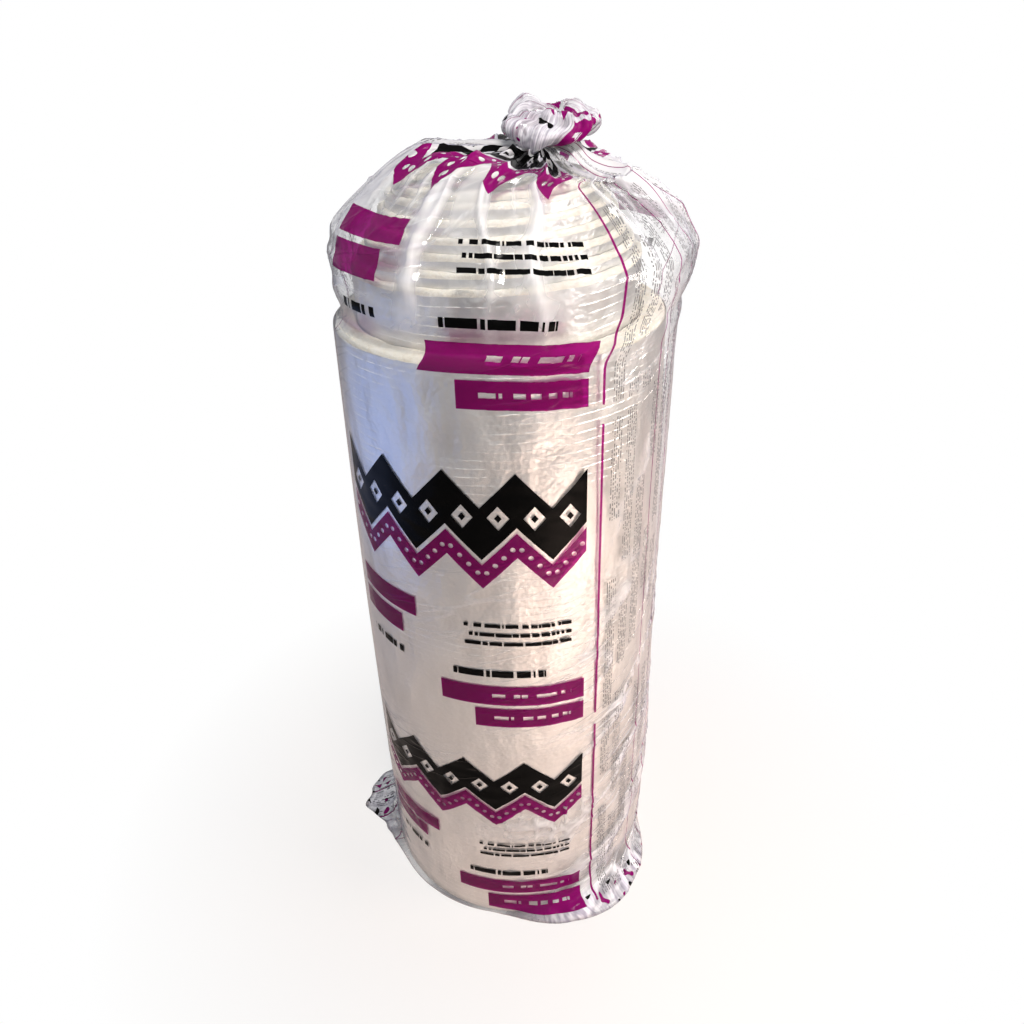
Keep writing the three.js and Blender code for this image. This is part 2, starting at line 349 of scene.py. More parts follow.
def wound_blanket(roll):
    """The blanket's section carried along its spiral, with ragged fibres at both edges."""
    spacing = 0.008
    fray = 0.0013
    turn, run = even_turns(roll, spacing)
    radius, level = blanket_section(turn, roll)
    along = (np.linspace(0, run, len(turn)) / 0.03)[:, None]
    across = 140 * (radius - radius.min(axis=1, keepdims=True))
    middle = roll.base + 0.5 * roll.blanket_width + rise_of(turn, roll)[:, None]
    from_middle = np.abs(level - middle)
    at_edge = ramp(from_middle, 0.47 * roll.blanket_width, 0.5 * roll.blanket_width)
    ragged = crinkle(along, across, 4096, 11) + 0.6 * crinkle(2.7 * along, 2 * across, 8192, 12)
    level = np.maximum(level + at_edge * fray * ragged, roll.base)
    points = spiral_places(turn[:, None], radius, level)
    round_section = radius.shape[1]
    faces = [face[::-1] for face in grid_faces(len(turn), round_section, True)]
    last = (len(turn) - 1) * round_section
    faces.append(list(range(round_section)))
    faces.append(list(range(last + round_section - 1, last - 1, -1)))
    return make_mesh("wool_blanket", points, faces)


def facing_sheet(name, roll, turns, spacing, levels, quilting):
    """A strip of facing on the outside of the blanket from one turn number to another, as a grid
    of heights by turns, pressed in by soft noise. Its UV map is the distance along the blanket and
    up it."""
    film_gap = 0.00035
    waviness = 0.0012
    turn = np.arange(*turns, spacing / (FULL_TURN * roll.roll_radius))
    outer = outside_of(turn, roll)[None, :]
    share = levels[:, None]
    height = roll.base + rise_of(turn, roll)[None, :] + share * roll.blanket_width
    run = running(FULL_TURN * outer[0, 1:] * np.diff(turn))[None, :]
    radius = outer + outermost(turn, roll)[None, :] * side_bow(height, roll) + film_gap
    hollows = crinkle(run / 0.15, height / 0.12, 512, 21)
    hollows = hollows + 0.6 * crinkle(run / 0.06, height / 0.05, 512, 22)
    edge = crinkle(run / 0.05, 0 * height, 512, 23) * ramp(share, 0.96, 1.0)
    radius = radius - quilting * (0.8 + 0.5 * hollows)
    height = height + waviness * edge
    points = spiral_places(np.broadcast_to(turn[None, :], radius.shape), radius, height)
    faces = grid_faces(len(levels), len(turn), False)
    uv = grid_uv(np.broadcast_to(run, radius.shape), share * roll.blanket_width + 0 * run)
    return make_mesh(name, points, faces, uv)


# -------- the bag

# Where the bag's rings stand on the roll's side, as shares of the rim's height.
SIDE_RINGS = (0, 0.02, 0.1, 0.25, 0.5, 0.75, 0.9, 0.98)

# The tuft's rings, as shares: of its height, of its half width, and of its droop to the right.
LOWER_TUFT = ((0.15, 0.6, 0.4), (0.4, 0.95, 0.9), (0.7, 1.0, 0.6))
UPPER_TUFT = ((0.92, 0.86, 0.4), (0.98, 0.5, 0.3), (0.88, 0.15, 0.2))

# The bag's two bottom corners and the skirt between them: the middle, and the spread before and
# after it, in degrees; how far it stands out and how high it reaches; how pointed it is, and how
# ragged.
FLARES = (
    (170, 30, 46, 0.072, 0.073, 2.1, 0.26),
    (-54, 50, 50, 0.056, 0.066, 0.8, 0.05),
    (190, 95, 95, 0.011, 0.030, 0.8, 0.05),
)

# Pleats that run out of the knot: how many go round, their depth, the distances from the knot
# between which they show, and the seed.
PLEATS = (
    (11, 0.0110, 0.05, 0.52, 41),
    (23, 0.0085, 0.02, 0.46, 42),
    (47, 0.0055, 0.01, 0.30, 43),
    (97, 0.0030, 0.00, 0.15, 44),
)

# Facets of the tuft: how many go round, their depth, and the seed.
TUFT_FACETS = ((9, 0.012, 62), (19, 0.007, 65), (41, 0.0035, 68))

# How far apart the bag's rows are at some distances along the film from the floor, up the side and
# round the rim, and the same round the knot, with the distance taken from it.
ROW_GAPS = ((0, 0.0042), (0.10, 0.0054), (0.34, 0.0080), (0.6, 0.0150), (1.12, 0.0150))
RIM_GAPS = ((1.21, 0.0080), (1.4, 0.0066))
KNOT_GAPS = ((-0.1, 0.0056), (-0.02, 0.0020), (0.04, 0.0027))
MOUTH_GAP = 0.0045


def bag_stations(roll, bag):
    """The bag's rings from the floor to the knot: height, radius, shift, tilt and oval. They follow
    the roll's side, and over the rim they swell, draw in and gather to one side."""
    rim = roll.base + roll.blanket_width
    wool_top = rim + roll.first_rise + roll.turn_rise * (roll.rising_turns - 1)
    full = roll.roll_radius - roll.top_taper + bag.ease
    top = wool_top + bag.tent_over_wool
    knot = top + bag.knot_height
    swell, draw, lift = bag.bulge_swell, bag.shoulder_draw, bag.knot_height
    bulge_top = 0.5 * (bag.bulge_height + bag.shoulder_height)
    between = 0.5 * (bag.tent_shift + bag.knot_shift)
    rows = []
    for height in rim * np.array(SIDE_RINGS):
        rows.append((height, roll.roll_radius + side_bow(height, roll) + bag.ease, 0, 0, 0))
    rows += [
        (rim + 0.012, full + 0.001, bag.waist_shift, 0, 0.1),
        (rim + 0.6 * bag.bulge_height, full + 0.9 * swell, 0.9 * bag.bulge_shift, 0, 0.4),
        (rim + bag.bulge_height, full + swell, bag.bulge_shift, 0, 0.7),
        (rim + bulge_top, full + 0.5 * (swell - draw), bag.bulge_shift, 0, 0.9),
        (rim + bag.shoulder_height, full - draw, bag.shoulder_shift, 0.2, 1),
        (rim + bag.crown_height, full - bag.crown_draw, bag.shoulder_shift, 0.4, 0.9),
        (top, bag.tent_radius, bag.tent_shift, 1, 0.5),
        (top + 0.2 * lift, 0.55 * bag.tent_radius, between, 0.7, 0),
        (top + 0.45 * lift, 2.8 * bag.knot_radius, bag.knot_shift - 0.002, 0.1, 0),
        (knot - 0.15 * lift, bag.knot_radius, bag.knot_shift, 0, 0),
        (knot + 0.15 * lift, bag.knot_radius, bag.knot_shift, 0, 0),
    ]
    height, radius, shift, tilted, flattened = np.array(rows).T
    oval = 1 - flattened * (1 - bag.tent_flatness)
    return np.stack([height, radius, shift, tilted * bag.tent_tilt, oval], axis=1), rim, knot


def tuft_stations(bag, knot):
    """The tuft's rings over the knot: height, radius, shift, how far the right side hangs, and
    oval."""
    along, spread, hang = np.array([*LOWER_TUFT, *UPPER_TUFT]).T
    shift = bag.knot_shift + (bag.tuft_shift - bag.knot_shift) * np.minimum(1, 1.6 * along)
    oval = 1 + (bag.tuft_flatness - 1) * np.minimum(1, 2 * along)
    height, radius = knot + bag.tuft_height * along, bag.tuft_radius * spread
    return np.stack([height, radius, shift, bag.tuft_droop * hang, oval], axis=1)


def slack_reach(angle, height, rim, bag):
    """How far the film stands off the roll's right side: it grows with the cube of the height, and
    with the cosine of the angle from that side to the power of 1.3, and ends at the rim."""
    share = np.clip(height / rim, 0, 1)
    towards = np.clip(np.cos(angle), 0, 1) ** 1.3
    below_rim = 1 - ramp(height, 0.98 * rim, 1.02 * rim)
    return 2 * bag.slack_shift * share**3 * towards * below_rim


def flare_reach(angle, height):
    """How far the bag's two bottom corners and the skirt between them stand out: a cosine bump
    round each one's middle, raised to a power that makes it pointed, made ragged by noise, and
    falling off with the square of the height that is left."""
    ragged = crinkle(angle * 36 / FULL_TURN, height / 0.025, 36, 73)
    ragged = ragged + 0.6 * crinkle(angle * 83 / FULL_TURN, height / 0.02, 83, 74)
    reach = 0
    for middle, before, after, longest, tallest, pointed, rough in FLARES:
        away = (np.degrees(angle) - middle + 180) % 360 - 180
        share = np.clip(np.abs(away) / np.where(away < 0, before, after), 0, 1)
        bump = (0.5 + 0.5 * np.cos(math.pi * share)) ** pointed
        height_left = np.clip(1 - height / tallest, 0, 1)
        reach = reach + longest * bump * height_left**2 * (1 + rough * ragged)
    return reach


def roll_outline(height, roll):
    """Radius of the roll at a height: its side, the rounded rim, the first turn's wall, and then a
    slope over the edges of the turns that have slid up."""
    rim = roll.base + roll.blanket_width
    edge = 0.012
    side = roll.roll_radius + side_bow(height, roll)
    past_edge = np.clip(height - (rim - edge), 0, edge)
    rounded = side - edge + np.sqrt(edge**2 - past_edge**2)
    inner = roll.roll_radius - roll.outer_turn
    last = roll.rising_turns
    steps = rim + roll.first_rise + roll.turn_rise * np.array([0, last - 1])
    pitch = (inner - roll.bore_radius) / roll.inner_turns
    slope = np.interp(height, steps, [inner, inner - pitch * (last - 1)])
    return np.where(height < rim, rounded, np.where(height < steps[1], slope, 0.0))


def kept_off(points, roll, gap):
    """The points moved out from the axis wherever they are nearer to the roll than the gap."""
    nearest = roll_outline(points[..., 2], roll) + gap
    across = np.hypot(points[..., 0], points[..., 1])
    grow = np.maximum(nearest / np.maximum(across, 1e-6), 1.0)
    return points * np.stack([grow, grow, np.ones_like(grow)], axis=-1)


def surface_normals(points):
    """Unit normals of a grid that closes on itself across its columns: the cross product of its
    two directions, each taken as a central difference."""
    across = np.roll(points, -1, axis=1) - np.roll(points, 1, axis=1)
    up = np.gradient(points, axis=0)
    normal = np.cross(across, up)
    return normal / np.maximum(np.linalg.norm(normal, axis=-1, keepdims=True), 1e-9)


def film_places(stations, knot_ring):
    """Distances along the film of the rows, the knot and the mouth, and what the stations say at
    each row. Between two marks the rows' gap goes evenly from the one's to the other's."""
    path = running(np.hypot(np.diff(stations[:, 0]), np.diff(stations[:, 1])))
    knot_at, mouth_at = float(path[knot_ring]), path[-1]
    round_knot = [(knot_at + past, gap) for past, gap in KNOT_GAPS]
    spots, gaps = zip(*ROW_GAPS, *RIM_GAPS, *round_knot, (mouth_at, MOUTH_GAP))
    fine = np.linspace(0, mouth_at, 4000)
    density = 1 / np.interp(fine, spots, gaps)
    total = running(0.5 * (density[1:] + density[:-1]) * np.diff(fine))
    at = np.interp(np.linspace(0, total[-1], int(total[-1])), total, fine)
    rings = [through(path, column, at)[:, None] for column in stations.T]
    return at[:, None], knot_at, mouth_at, rings


# The next four functions each give how far the folds move a point out, and how sharply it is folded
# there, which the film's material paints white as a painted highlight.


def body_folds(u, path, height, rim, girth):
    """Folds of the slack film on the roll's side, all outwards: short level creases low down, where
    the film has slid, long ones that slant up one side, hanging folds along the slack edge, upright
    ones beside them, and one crushed patch. Each is a pattern times a bell round its own place."""
    low = 1 - ramp(height, 0.10, 0.45)
    patchy = ramp(crinkle(9 * u, height / 0.12, 9, 30), -0.1, 0.5)
    wander = 1.2 * crinkle(7 * u, path / 0.2, 7, 35)
    level = crests(16 * u, path / 0.034 + wander, 16, 31, 0.3) * low * patchy
    lean = math.radians(34)
    along = girth * u * math.cos(lean) + path * math.sin(lean)
    aside = path * math.cos(lean) - girth * u * math.sin(lean)
    side = hump(u, 0.37, 0.085) * (1 - 0.75 * ramp(height, 0.55, 0.85))
    slanting = side * crests(along / 0.15, aside / 0.045, 64, 32, 0.24)
    edge = hump(u, 0.43, 0.06) * ramp(height, 0.03, 0.12)
    edge = edge * (1 - 0.8 * ramp(height, 0.30, 0.7))
    swing = 1.1 * np.sin(height / 0.07)
    hanging = edge * (0.5 + 0.5 * crinkle(58 * u + swing, height / 0.22, 58, 33))
    beside = hump(u, 0.11, 0.06) * hump(height, 0.30, 0.10)
    upright = beside * (0.5 + 0.5 * crinkle(62 * u, height / 0.3, 62, 36))
    in_patch = hump(u, 0.26, 0.07)
    crushed = in_patch * hump(height, 0.28, 0.05) * crests(60 * u, path / 0.020, 60, 34, 0.5)
    bends = facets(70 * u, path / 0.016, 70, 37, 0.3)[1]
    crumpled = in_patch * hump(height, 0.27, 0.04) * (0.25 + bends)
    out = 0.0028 * level + 0.005 * slanting + 0.01 * hanging + 0.007 * upright + 0.007 * crushed
    sharp = 0.5 * level + 2.4 * slanting + 0.9 * hanging**2 + 0.6 * upright**3
    sharp = sharp + 0.9 * crushed + 0.8 * crumpled
    fading = ramp(rim - height, -0.01, 0.05)
    return out * fading, sharp * fading


def tent_folds(u, away):
    """Pleats that run out of the knot: each coarser set of crests takes over from a finer one as
    the distance from the knot grows, as in any gathered film, with facets between them and the
    rim, and one lobe beside the knot."""
    out = -0.005 * ramp(away, 0.02, 0.1) * (1 - ramp(away, 0.15, 0.28))
    sharp = 0
    for cells, depth, near, far, seed in PLEATS:
        share = ramp(away, 0.1 * near, near + 0.01) * (1 - ramp(away, 0.45 * far, far))
        wander = 0.25 * crinkle(9 * u, away / 0.10, 9, seed + 7)
        crest = crests(cells * u + wander, away / 0.8, cells, seed, 0.42)
        out = out + depth * share * crest
        sharp = sharp + share * crest**1.5
    outer = ramp(away, 0.05, 0.12) * (1 - ramp(away, 0.30, 0.46))
    small = crests(30 * u + away / 0.07, away / 0.06, 30, 52, 0.25)
    large, large_bend = facets(9 * u, away / 0.13, 9, 51, 0.05)
    lobe = 0.010 * hump(u, 0.40, 0.04) * hump(away, 0.055, 0.03)
    out = out + outer * (0.011 * large + 0.0024 * small) + lobe
    veil = np.clip(0.5 + crinkle(14 * u, away / 0.2, 14, 54), 0, 1)
    sharp = sharp + outer * (0.35 * small**2 + 0.6 * large_bend)
    return out, sharp + 0.22 * veil * ramp(away, 0.5, 0.35)


def tuft_folds(u, beyond):
    """Ruffles of the tuft, which grow from the knot to the mouth: soft waves, and facets of three
    sizes."""
    grown = ramp(beyond, 0.002, 0.03)
    out = 0.012 * crinkle(6 * u, beyond / 0.04, 6, 61)
    sharp = 0
    for cells, depth, seed in TUFT_FACETS:
        height, bend = facets(cells * u, beyond / 0.026, cells, seed, 0.14)
        out = out + depth * height
        sharp = sharp + 0.5 * bend
    return grown * out, (0.15 + 0.9 * sharp) * ramp(beyond, 0.0, 0.004)


def ear_folds(u, path, reach):
    """Crushed film on the ears, in facets of two sizes."""
    share = np.clip(reach / EAR_REACH, 0, 1) * ramp(path, -0.004, 0.012)
    large, large_bend = facets(34 * u, path / 0.032, 34, 71, 0.16)
    small, small_bend = facets(80 * u, path / 0.015, 80, 76, 0.25)
    return share * (0.012 * large + 0.007 * small), share * (0.7 * large_bend + 0.4 * small_bend)


def film_uv(points, u, at, height, layers, knot_at, girth, bag):
    """The film's own place in metres at each point. Round the bag it is the share of the girth.
    Along it, it is the path, half of what the folds add to it, the length that creases near the
    floor take up, and the length wound up in the knot. Where the film is crushed, both wander."""
    climbed = np.linalg.norm(np.diff(points, axis=0), axis=-1)
    climbed = np.concatenate([np.zeros((1, bag.columns)), np.cumsum(climbed, axis=0)])
    film_v = at + 0.5 * (climbed - climbed.mean(axis=1, keepdims=True))
    film_v = film_v + bag.bunching * ramp(height, 0.03, bag.bunch_top)
    film_v = film_v + bag.tied_film * ramp(at, knot_at - 0.006, knot_at + 0.004)
    film_v = film_v + 0.010 * layers * crinkle(34 * u, at / 0.015, 34, 68)
    film_u = girth * u + 0.010 * layers * crinkle(27 * u, at / 0.018, 27, 69)
    return grid_uv(film_u, film_v, girth)


def closed_bag(points, uv, girth):
    """The bag's grid closed below by a fan of triangles from a point on the floor."""
    rows, columns = points.shape[:2]
    middle = rows * columns
    flat = np.concatenate([points.reshape(-1, 3), [[0.0, 0.0, 0.0]]])
    faces = grid_faces(rows, columns, True)
    column = np.arange(columns)
    faces += [[middle, (here + 1) % columns, here] for here in range(columns)]
    fan_uv = np.stack([0 * column, column + 1, column], axis=1) * girth / columns
    fan_uv = np.stack([fan_uv, 0 * fan_uv], axis=-1)
    corner_uv = np.concatenate([uv.reshape(-1, 2), fan_uv.reshape(-1, 2)])
    return make_mesh("clear_bag", flat, faces, corner_uv)


def bag_film(roll, bag):
    """The bag as one grid: rings that follow the stations, moved out by the ears and the slack, and
    then along their normals by the folds. Its points carry how sharply the film is folded, where it
    lies in layers, and where fine creases show; the film's material paints the sharp folds and the
    creases white, as painted highlights, with most on the slack side."""
    body, rim, knot = bag_stations(roll, bag)
    stations = np.concatenate([body, tuft_stations(bag, knot)])
    at, knot_at, mouth_at, rings = film_places(stations, len(body) - 1)
    height, radius, shift, tilt, oval = rings
    u = np.arange(bag.columns)[None, :] / bag.columns
    angle = BAG_START + FULL_TURN * u
    ears = flare_reach(angle, height)
    reach = radius + (ears + slack_reach(angle, height, rim, bag))
    twisted = angle + 0.5 * ramp(at, knot_at - 0.05, knot_at + 0.03)
    right = np.cos(twisted)
    places = [shift + reach * right, oval * reach * np.sin(twisted), height - tilt * right]
    points = np.stack(places, axis=-1)
    girth = FULL_TURN * roll.roll_radius
    on_tent = ramp(height, rim - 0.02, rim + 0.06) * (at < knot_at)
    parts = [body_folds(u, at, height, rim, girth), ear_folds(u, at, ears)]
    parts.append(tuft_folds(u, np.maximum(at - knot_at, 0)))
    parts.append([on_tent * part for part in tent_folds(u, np.maximum(knot_at - at, 0))])
    knotted = 0.003 * crinkle(38 * u, at / 0.05, 38, 65) * hump(at, knot_at, 0.02)
    out = sum(part[0] for part in parts) + knotted
    folded = np.clip(sum(part[1] for part in parts), 0, 1)
    points = kept_off(points + surface_normals(points) * out[..., None], roll, bag.ease)
    ragged = 0.005 * crinkle(9 * u, 0 * at, 9, 66) + 0.004 * crinkle(23 * u, 0 * at, 23, 67)
    points[..., 2] += ragged * ramp(at, knot_at + 0.03, mouth_at)
    points[..., 2] = np.maximum(points[..., 2], 0.0)
    to_mouth = 1 - 0.3 * ramp(at, knot_at, mouth_at)
    in_knot = ramp(at, knot_at - 0.012, knot_at) * to_mouth
    layers = np.clip(ears / EAR_REACH, 0, 1) + in_knot
    layered = np.clip(layers, 0, 1)
    # Creases that the film's material paints white, as painted highlights, with more on the slack
    # side.
    slack = hump(u, 0.38, 0.08) * (1 - ramp(height, 0.5, 0.9))
    creased = ramp(crinkle(8 * u, at / 0.20, 8, 75), 0.0, 0.6) + 1.6 * slack
    uv = film_uv(points, u, at, height, layers, knot_at, girth, bag)
    piece = closed_bag(points, uv, girth)
    painted = {"folded": folded, "layered": layered, "creased": creased * (1 - layered)}
    for name, values in painted.items():
        attribute = piece.data.attributes.new(name, "FLOAT", "POINT")
        attribute.data.foreach_set("value", np.append(values.ravel(), 0.0))
    return piece


# -------- materials

THREAD_ROW = 0.014
THREAD_COLUMN = 0.0125
COLUMN_PITCH = 0.0305
WHITE = (1, 1, 1)


def math_node(operation):
    """A method of a value that adds one Math node."""

    def method(self, *others):
        sockets = dict(enumerate((self, *others)))
        return self.finish.number("Math", sockets, operation=operation)

    return method


class Value:
    """A number that a finish works out: an output socket, with the sums that can be done on it."""

    def __init__(self, finish, socket):
        self.finish = finish
        self.socket = socket

    __add__ = __radd__ = math_node("ADD")
    __mul__ = __rmul__ = math_node("MULTIPLY")
    __sub__ = math_node("SUBTRACT")
    __truediv__ = math_node("DIVIDE")
    __pow__ = math_node("POWER")
    __abs__ = math_node("ABSOLUTE")
    floor = math_node("FLOOR")
    under = math_node("LESS_THAN")
    over = math_node("GREATER_THAN")
    either = math_node("MAXIMUM")
    at_most = math_node("MINIMUM")
    snapped = math_node("SNAP")
    to_and_fro = math_node("PINGPONG")
    near = math_node("COMPARE")
    # What is left over past a whole number, and past a whole number of lengths.
    part = math_node("FRACT")
    wrapped = math_node("FLOORED_MODULO")

    def __rsub__(self, other):
        return (self * -1) + other

    def __rtruediv__(self, other):
        return self**-1 * other

    def between(self, low, high):
        return self.near((low + high) / 2, (high - low) / 2)

    def stepped(self, length):
        """The middle of the length that it lies in."""
        return self.snapped(length) + length / 2

    def zigzag(self, length):
        """0 at each whole number of lengths, rising evenly to 1 half way between them."""
        return self.to_and_fro(length / 2) * (2 / length)

    def held(self):
        """Kept between 0 and 1."""
        return self.either(0).at_most(1)

    def peak(self, half_width):
        """1 at zero, falling evenly to 0 at the half width on both sides."""
        return (1 - abs(self) / half_width).held()


class Finish:
    """The node tree of a material or a world, and the one method that adds a node to it."""

    def __init__(self, owner):
        owner.use_nodes = True
        self.owner = owner
        self.tree = owner.node_tree
        self.tree.nodes.clear()

    def node(self, kind, sockets=None, **settings):
        """Adds a node, whose kind is its type without the prefix: first its settings, such as an
        operation or a ramp's stops, and then the values or links of its sockets, by name or number.
        A node that is linked stands for its first output."""
        node = self.tree.nodes.new("ShaderNode" + kind)
        for key, value in settings.items():
            if key == "stops":
                elements = node.color_ramp.elements
                while len(elements) < len(value):
                    elements.new(0.5)
                for element, (place, shade) in zip(elements, value):
                    element.position = place
                    element.color = (*shade, 1.0)
            else:
                setattr(node, key, value)
        for key, value in (sockets or {}).items():
            target = node.inputs[key]
            if isinstance(value, Value):
                value = value.socket
            if isinstance(value, bpy.types.Node):
                value = value.outputs[0]
            if isinstance(value, bpy.types.NodeSocket):
                self.tree.links.new(value, target)
            elif hasattr(value, "__len__") and len(value) == 3 and target.type == "RGBA":
                target.default_value = (*value, 1.0)
            else:
                target.default_value = value
        return node

    def number(self, kind, sockets=None, output=0, **settings):
        return Value(self, self.node(kind, sockets, **settings).outputs[output])

    def lay(self):
        """The piece's own UV map in metres, as a vector and its two numbers."""
        uv = self.node("UVMap", uv_map="lay")
        parts = self.node("SeparateXYZ", {0: uv}).outputs
        return uv, Value(self, parts[0]), Value(self, parts[1])

    def place(self):
        """The point's place on its object, in metres."""
        return self.node("TexCoord").outputs["Object"]

    def painted(self, name):
        """A number that the piece carries on its points."""
        return self.number("Attribute", output="Fac", attribute_name=name)

    def noise(self, vector, scale, detail=0.0, roughness=0.5, distortion=0.0, dimensions="2D"):
        sockets = {"Vector": vector, "Scale": scale, "Detail": detail}
        sockets.update({"Roughness": roughness, "Distortion": distortion})
        return self.number("TexNoise", sockets, noise_dimensions=dimensions)

    def stretched(self, vector, scale, turn=0.0):
        """The vector scaled along each axis, after a turn about Z."""
        if turn:
            turned = {"Vector": vector, "Angle": turn}
            vector = self.node("VectorRotate", turned, rotation_type="Z_AXIS")
        return self.node("VectorMath", {0: vector, 1: scale}, operation="MULTIPLY")

    def mixed(self, share, first, second):
        """A colour that goes from the first to the second as the share goes from 0 to 1."""
        sockets = {0: share, 6: first, 7: second}
        return self.node("Mix", sockets, data_type="RGBA").outputs[2]

    def bump(self, height, distance, strength):
        sockets = {"Height": height, "Distance": distance, "Strength": strength}
        return self.node("Bump", sockets)

    def blended(self, share, first, second):
        """A shader that goes from the first to the second as the share goes from 0 to 1."""
        return self.node("MixShader", {0: share, 1: first, 2: second})

    def seen(self, *rays):
        """1 where any of these kinds of ray looks, and 0 elsewhere."""
        path = self.node("LightPath").outputs
        found = Value(self, path[f"Is {rays[0]} Ray"])
        for ray in rays[1:]:
            found = found.either(Value(self, path[f"Is {ray} Ray"]))
        return found

    def shows(self, shader, output="OutputMaterial"):
        self.node(output, {"Surface": shader})
        return self.owner


def wool_finish():
    """Glass wool: cream fibres, lying mostly along the blanket, in thin uneven layers."""
    finish = Finish(bpy.data.materials.new("glass wool"))
    place = finish.place()
    solid = {"dimensions": "3D"}
    layers = finish.noise(place, 260, detail=4, roughness=0.65, **solid)
    clumps = finish.noise(place, 38, detail=2, roughness=0.6, **solid)
    fibres = finish.stretched(place, (1, 1, 0.3))
    fibres = finish.noise(fibres, 900, detail=2, roughness=0.7, distortion=1.5, **solid)
    shade = (layers * 0.5 + clumps * 0.5).held()
    stops = [(0.27, (0.79, 0.69, 0.54)), (0.5, (0.93, 0.87, 0.75)), (0.75, (0.98, 0.95, 0.89))]
    cream = finish.node("ValToRGB", {0: shade}, stops=stops)
    relief = layers * 0.6 + fibres * 0.4 + clumps * 0.4
    relief = finish.bump(relief, distance=0.003, strength=0.8)
    look = {"Base Color": cream, "Roughness": 0.95, "Sheen Weight": 0.2, "Normal": relief}
    return finish.shows(finish.node("BsdfPrincipled", {**look, "Specular IOR Level": 0.2}))


def foil_finish():
    """Foil over a scrim: bright metal, raised by threads that show most where they lie level. Its
    colour is painted lighter along the threads and on the dents, as painted highlights.
    """
    finish = Finish(bpy.data.materials.new("foil over scrim"))
    uv, along, up = finish.lay()
    wander = (finish.noise(uv, 14) - 0.5) * 0.35
    level = ((up / THREAD_ROW + wander).part() - 0.5).peak(0.07)
    upright = ((along / THREAD_COLUMN + wander).part() - 0.5).peak(0.10)
    crumple = finish.noise(uv, 130)
    dents = finish.noise(finish.stretched(uv, (1, 0.45, 1)), 24, detail=1)
    pressed = ((finish.noise(uv, 6) - 0.40) * 3.5).held()
    thread = (level + upright * 0.15) * (0.12 + 0.88 * pressed) * (crumple * 1.8 - 0.2).held()
    relief = thread * 0.30 + crumple * 0.35 + dents * 2.8
    relief = finish.bump(relief, distance=0.0016, strength=1.0)
    # Painted highlights: the colour is lighter along the threads, most where they lie level, and on
    # the dents.
    painted_highlight = (thread * 0.6 + dents * 0.5).held()
    shade = finish.mixed(painted_highlight, (0.66, 0.65, 0.64), (0.93, 0.92, 0.90))
    look = {"Base Color": shade, "Roughness": 0.31 + 0.12 * dents, "Normal": relief}
    return finish.shows(finish.node("BsdfPrincipled", {**look, "Metallic": 1.0}))


def dashes(finish, across, rise, row, thick, filled, scale):
    """Rows of plain dashes of uneven length, across the film or, with its two numbers swapped, up
    it: bands as thick as a share of the row, cut where a noise that differs by row is low."""
    band = (rise / row).part().under(thick)
    spot = finish.node("CombineXYZ", {0: across * scale, 1: (rise / row).floor() * 3.7})
    return band * finish.noise(spot, 1).over(1 - filled)


def printed_marks(finish, around, up, roll, art):
    """The print, as one mask for black and one for magenta. Each panel has a zigzag band in black
    with clear rings, one in magenta with clear dots, bars with clear dashes, and rows of dashes.
    Beside the panel stand thin rules and columns of fine dashes. Places are metres on the film."""
    half_round = 0.5 * FULL_TURN * roll.roll_radius
    across = (around - art.panel).wrapped(half_round)
    rise = (up - art.start).wrapped(art.repeat)
    width = art.panel_width
    tooth = width / art.teeth
    reach = 0.060
    crest = 0.460

    def line_at(place):
        return crest - reach * place.zigzag(tooth)

    def box(left, right, low, high):
        return rise.between(low, high) * across.between(left, right)

    on_panel = across.between(0.0, width)
    off_line = rise - line_at(across)
    black_band = off_line.between(-0.046, 0.046)
    ring_at = across.stepped(tooth / 2)
    from_ring = abs(across - ring_at) * 1.2 + abs(rise - line_at(ring_at))
    black_band = black_band * on_panel * (1 - from_ring.between(0.007, 0.021))
    magenta_band = off_line.between(-0.100, -0.056)
    dot_at = across.stepped(tooth / 8)
    from_dot = (across - dot_at) ** 2 + (rise + 0.078 - line_at(dot_at)) ** 2
    magenta_band = magenta_band * on_panel * from_dot.over(0.0042**2)
    bars = box(0.255, width, 0.0, 0.043) + box(0.195, width, 0.052, 0.095)
    cut_out = dashes(finish, across, rise + 0.0345, row=0.052, thick=0.154, filled=0.6, scale=90)
    bars = bars * (1 - cut_out * across.between(0.285, 0.425))
    side_bars = box(0.0, 0.120, 0.165, 0.205) + box(0.0, 0.155, 0.214, 0.254)
    rows = dashes(finish, across, rise, row=0.0185, thick=0.38, filled=0.66, scale=170)
    rows = rows * box(0.245, 0.425, 0.180, 0.235)
    label = dashes(finish, across, rise + 0.004, row=0.030, thick=0.47, filled=0.62, scale=95)
    label = label * (box(0.215, 0.380, 0.110, 0.135) + box(0.02, 0.115, 0.110, 0.135))
    place = across / COLUMN_PITCH
    spot = finish.node("CombineXYZ", {0: place.floor() * 5.3, 1: rise * 5.5})
    columns = across.between(0.485, 0.787) * place.part().between(0.14, 0.88)
    columns = columns * finish.noise(spot, 1).over(0.46)
    fine = dashes(finish, rise, across, row=0.0044, thick=0.5, filled=0.55, scale=240)
    fine = fine * 0.8 * columns
    rules = ((across - 0.598) / (2 * COLUMN_PITCH)).part().under(0.04) * across.over(0.597)
    rules = box(0.4735, 0.4780, 0.0, 0.575) + rules
    black = black_band.either(rows.either(label)).either(fine)
    return black, magenta_band.either(bars.either(side_bars)).either(rules)


